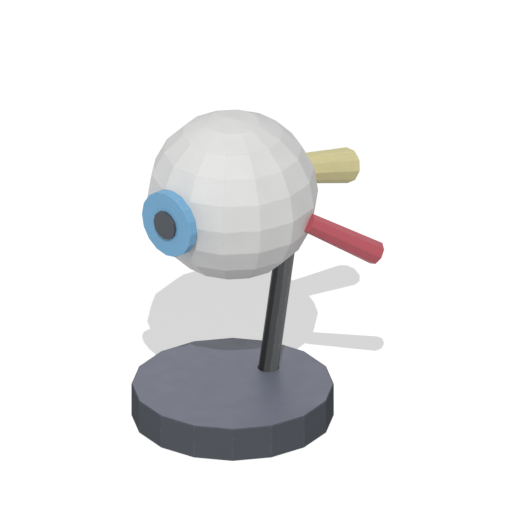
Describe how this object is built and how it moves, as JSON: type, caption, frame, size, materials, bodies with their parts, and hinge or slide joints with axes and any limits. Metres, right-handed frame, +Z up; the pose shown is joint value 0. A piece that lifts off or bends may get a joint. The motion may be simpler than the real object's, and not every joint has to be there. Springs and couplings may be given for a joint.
{
  "type": "eye anatomy model",
  "caption": "Enlarged model of the human eye on a leaning post and round base; it opens at the equator to show lens, vitreous body and retina, with optic nerve and a rectus muscle.",
  "frame": {"origin": "centre of the non-slip pad's underside, on the surface that the model stands on", "axes": "+Z up, the eye looks along -Y, the optic nerve points back along +Y, +X is the side with the rectus muscle"},
  "size_m": [0.1505, 0.1871, 0.233],
  "materials": {
    "white_shell": "satin moulded plastic with flat facets",
    "iris_blue": "satin moulded plastic",
    "pupil_grey": "satin moulded plastic",
    "nerve_yellow": "satin moulded plastic",
    "muscle_red": "satin moulded plastic",
    "base_grey": "fine moulded texture",
    "post_black": "satin paint",
    "choroid_brown": "satin moulded plastic",
    "retina_orange": "hand-painted",
    "clear_lens": "polished clear",
    "clear_vitreous": "polished clear plastic",
    "zonule_white": "frosted",
    "nylon": "natural",
    "steel": "zinc plated",
    "magnet_nickel": "nickel plated",
    "pad_rubber": "matt non-slip"
  },
  "bodies": {
    "stand": {"base_housing": "base_grey", "base_cover": "base_grey", "cover_screws": "steel", "base_pad": "pad_rubber", "ballast_plate": "steel", "post": "post_black", "post_screw": "steel", "post_washer": "steel", "thrust_washer": "nylon"},
    "eyeball": {"post_bracket": "white_shell", "bracket_screws": "steel", "stop_screw": "steel", "swivel_bush": "nylon", "sclera_rear": "white_shell", "choroid_rear": "choroid_brown", "retina_rear": "retina_orange", "optic_nerve": "nerve_yellow", "nerve_dowel": "steel", "rectus_muscle": "muscle_red", "muscle_dowel": "steel", "locating_pegs": "steel", "rear_magnets": "magnet_nickel"},
    "front_half": {"sclera_front": "white_shell", "choroid_front": "choroid_brown", "retina_front": "retina_orange", "ciliary_ring": "choroid_brown", "front_magnets": "magnet_nickel"},
    "iris": {"iris_ring": "iris_blue", "pupil_disc": "pupil_grey"},
    "lens": {"lens": "clear_lens", "zonule_ring": "zonule_white"},
    "vitreous": {"vitreous_body": "clear_vitreous"}
  },
  "joints": [
    {"name": "eyeball_swivel", "type": "hinge", "parent": "stand", "child": "eyeball", "pos_m": [0, 0.06112, 0.16145], "axis": [0, 0.1857, 0.9826], "range_deg": [-40, 40]},
    {"name": "front_half_pull", "type": "slide", "parent": "eyeball", "child": "front_half", "axis": [0, -1, 0], "range_m": [0, 0.13]},
    {"name": "iris_pull", "type": "slide", "parent": "front_half", "child": "iris", "axis": [0, -1, 0], "range_m": [0, 0.04]},
    {"name": "lens_pull", "type": "slide", "parent": "eyeball", "child": "lens", "axis": [0, -1, 0], "range_m": [0, 0.078]},
    {"name": "vitreous_pull", "type": "slide", "parent": "eyeball", "child": "vitreous", "axis": [0, -1, 0], "range_m": [0, 0.052]}
  ],
  "couplings": [
    {"joint": "lens_pull", "follows": "front_half_pull", "ratio": 0.6},
    {"joint": "vitreous_pull", "follows": "front_half_pull", "ratio": 0.4}
  ]
}
